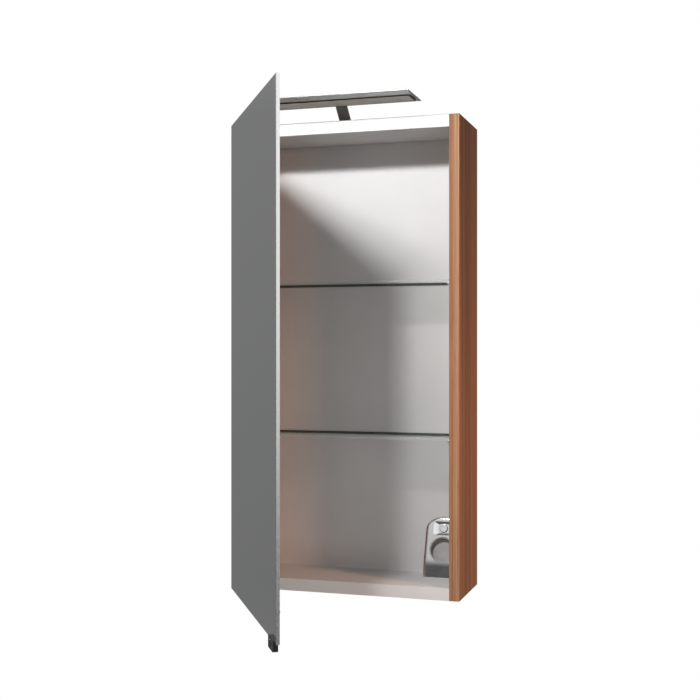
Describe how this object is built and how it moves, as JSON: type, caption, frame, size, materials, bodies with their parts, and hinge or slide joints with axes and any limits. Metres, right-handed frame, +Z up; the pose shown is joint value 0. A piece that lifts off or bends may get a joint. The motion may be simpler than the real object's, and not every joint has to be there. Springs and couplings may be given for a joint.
{
  "type": "mirror cabinet",
  "caption": "Slim wall-hung bathroom mirror cabinet: walnut sides, white inside with glass shelves, hinged mirror door, lamp blade on an arm over it, and a socket and switch box inside.",
  "frame": {"origin": "midway between the two wall screws, on the wall plane behind the cabinet", "axes": "+X to the right of someone facing the cabinet, +Y into the wall, +Z up; the door stands open at 57.5 degrees"},
  "size_m": [0.3523, 0.4297, 0.7362],
  "materials": {
    "walnut_board": "walnut-effect laminate with fine vertical grain",
    "walnut_edge": "walnut-effect edge band, lighter than the faces",
    "white_board": "white melamine-faced board",
    "white_edge": "white edge band",
    "white_back": "white lacquered fibreboard",
    "dowel_wood": "plain beech",
    "zinc": "die-cast zinc",
    "steel": "zinc-plated steel",
    "hinge_steel": "nickel-plated steel",
    "clear_glass": "clear float glass with polished edges",
    "mirror_glass": "silvered float glass",
    "bond_pad": "black adhesive foam pad",
    "clear_bumper": "clear soft bumper",
    "grip_black": "black moulded plastic",
    "lamp_metal": "satin anodised aluminium",
    "opal": "opal acrylic, unlit",
    "lamp_board": "white circuit board",
    "led_yellow": "phosphor coated diode",
    "arm_dark": "dark grey powder coat",
    "grommet_rubber": "black rubber",
    "box_silver": "silver lacquered plastic",
    "socket_grey": "light grey moulded plastic",
    "contact_brass": "spring brass",
    "inner_black": "black moulded plastic"
  },
  "bodies": {
    "carcass": {"left_side_panel": "walnut_board", "right_side_panel": "walnut_board", "top_panel": "white_board", "bottom_panel": "white_board", "back_panel": "white_back", "left_edge_band": "walnut_edge", "right_edge_band": "walnut_edge", "top_edge_band": "white_edge", "bottom_edge_band": "white_edge", "dowels": "dowel_wood", "cam_bolts": "steel", "cam_locks": "zinc", "upper_glass_shelf": "clear_glass", "lower_glass_shelf": "clear_glass", "shelf_pins": "steel", "left_hanger": "steel", "right_hanger": "steel", "hanger_screws": "steel", "upper_hinge_fixed_leaf": "hinge_steel", "lower_hinge_fixed_leaf": "hinge_steel", "hinge_pins": "steel", "hinge_screws": "steel", "lamp_housing": "lamp_metal", "lamp_left_end_cap": "lamp_metal", "lamp_right_end_cap": "lamp_metal", "lamp_tray": "inner_black", "lamp_diffuser": "opal", "lamp_led_board": "lamp_board", "lamp_leds": "led_yellow", "lamp_arm": "arm_dark", "lamp_arm_screws": "steel", "cable_grommet": "grommet_rubber", "socket_box_shell": "box_silver", "socket_well": "socket_grey", "socket_earth_clips": "contact_brass", "socket_rear_body": "inner_black", "switch_bezel": "box_silver", "switch_works": "inner_black"},
    "door": {"front_mirror": "mirror_glass", "rear_mirror": "mirror_glass", "upper_hinge_door_leaf": "hinge_steel", "lower_hinge_door_leaf": "hinge_steel", "hinge_bond_pads": "bond_pad", "door_bumpers": "clear_bumper", "door_handle": "grip_black"},
    "switch": {"switch_button": "box_silver"}
  },
  "joints": [
    {"name": "door_swing", "type": "hinge", "parent": "carcass", "child": "door", "pos_m": [-0.1724, -0.133, -0.305], "axis": [0, 0, -1], "range_deg": [-57.5, 42.5]},
    {"name": "switch_press", "type": "slide", "parent": "carcass", "child": "switch", "axis": [0, 0.9397, -0.342], "range_m": [0, 0.002], "stiffness_N_per_m": 300, "springref_m": -0.002}
  ]
}
